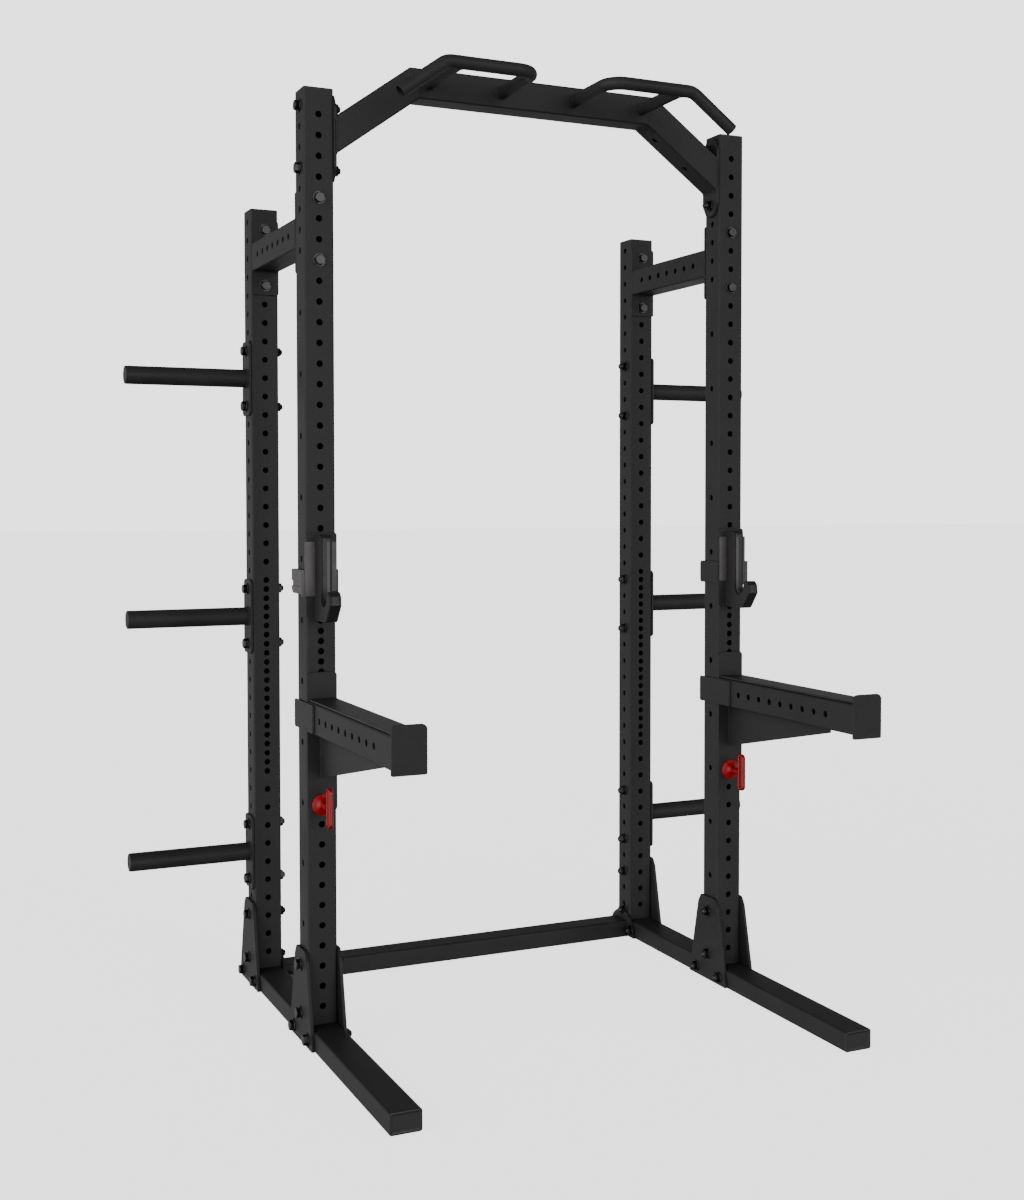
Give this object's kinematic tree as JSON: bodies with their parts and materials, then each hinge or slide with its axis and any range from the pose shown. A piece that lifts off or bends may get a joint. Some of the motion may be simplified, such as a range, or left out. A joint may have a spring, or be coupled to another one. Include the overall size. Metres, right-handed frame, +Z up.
{
  "type": "half rack power cage",
  "caption": "Open-front half rack with drilled uprights, pull-up bar, plate storage pegs, pull-off J-cups and pinned safety arms.",
  "frame": {"origin": "on the floor, in the middle of the outer box of the whole rack", "axes": "+Z up, +X to the right for a person who faces the rack from its open front, +Y from the open front towards the storage side"},
  "size_m": [1.903, 1.272, 2.411],
  "materials": {
    "powder_coat": "fine-textured charcoal black powder coat",
    "black_cap": "moulded black plastic, slightly rough",
    "liner": "dark grey slippery polyethylene, matt",
    "bolt": "black zinc plated, satin",
    "pin_steel": "turned bright steel",
    "red_plastic": "moulded red plastic, semi-gloss"
  },
  "bodies": {
    "rack_frame": {"base_rail_left": "powder_coat", "base_rail_right": "powder_coat", "beam_bolt_lower_left": "bolt", "beam_bolt_lower_right": "bolt", "beam_bolt_upper_left": "bolt", "beam_bolt_upper_right": "bolt", "grip_bar_left": "powder_coat", "grip_bar_right": "powder_coat", "gusset_inner_front_left": "powder_coat", "gusset_inner_front_right": "powder_coat", "gusset_outer_front_left": "powder_coat", "gusset_outer_front_right": "powder_coat", "gusset_outer_rear_left": "powder_coat", "gusset_outer_rear_right": "powder_coat", "pull_up_beam": "powder_coat", "rail_cap_front_left": "black_cap", "rail_cap_front_right": "black_cap", "rail_cap_rear_left": "black_cap", "rail_cap_rear_right": "black_cap", "rear_crossmember": "powder_coat", "side_bolt_front_lower_left": "bolt", "side_bolt_front_lower_right": "bolt", "side_bolt_front_upper_left": "bolt", "side_bolt_front_upper_right": "bolt", "side_bolt_rear_lower_left": "bolt", "side_bolt_rear_lower_right": "bolt", "side_bolt_rear_upper_left": "bolt", "side_bolt_rear_upper_right": "bolt", "side_member_left": "powder_coat", "side_member_right": "powder_coat", "storage_peg_lower_left": "powder_coat", "storage_peg_lower_right": "powder_coat", "storage_peg_middle_left": "powder_coat", "storage_peg_middle_right": "powder_coat", "storage_peg_upper_left": "powder_coat", "storage_peg_upper_right": "powder_coat", "upright_cap_front_left": "black_cap", "upright_cap_front_right": "black_cap", "upright_cap_rear_left": "black_cap", "upright_cap_rear_right": "black_cap", "upright_front_left": "powder_coat", "upright_front_right": "powder_coat", "upright_rear_left": "powder_coat", "upright_rear_right": "powder_coat"},
    "j_cup_left": {"j_cup_body_left": "powder_coat", "j_cup_guard_left": "liner", "j_cup_liner_left": "liner", "j_cup_pad_left": "liner"},
    "safety_arm_left": {"safety_arm_left": "powder_coat", "safety_arm_liner_left": "liner"},
    "lock_pin_left": {"lock_pin_handle_left": "red_plastic", "lock_pin_left": "pin_steel"},
    "j_cup_right": {"j_cup_body_right": "powder_coat", "j_cup_guard_right": "liner", "j_cup_liner_right": "liner", "j_cup_pad_right": "liner"},
    "safety_arm_right": {"safety_arm_liner_right": "liner", "safety_arm_right": "powder_coat"},
    "lock_pin_right": {"lock_pin_handle_right": "red_plastic", "lock_pin_right": "pin_steel"}
  },
  "joints": [
    {"name": "j_cup_pull_left", "type": "slide", "parent": "rack_frame", "child": "j_cup_left", "axis": [0, -1, 0], "range_m": [0, 0.12]},
    {"name": "safety_arm_pull_left", "type": "slide", "parent": "rack_frame", "child": "safety_arm_left", "axis": [0, -1, 0], "range_m": [0, 0.12]},
    {"name": "lock_pin_pull_left", "type": "slide", "parent": "safety_arm_left", "child": "lock_pin_left", "axis": [0, -1, 0], "range_m": [0, 0.06]},
    {"name": "j_cup_pull_right", "type": "slide", "parent": "rack_frame", "child": "j_cup_right", "axis": [0, -1, 0], "range_m": [0, 0.12]},
    {"name": "safety_arm_pull_right", "type": "slide", "parent": "rack_frame", "child": "safety_arm_right", "axis": [0, -1, 0], "range_m": [0, 0.12]},
    {"name": "lock_pin_pull_right", "type": "slide", "parent": "safety_arm_right", "child": "lock_pin_right", "axis": [0, -1, 0], "range_m": [0, 0.06]}
  ]
}
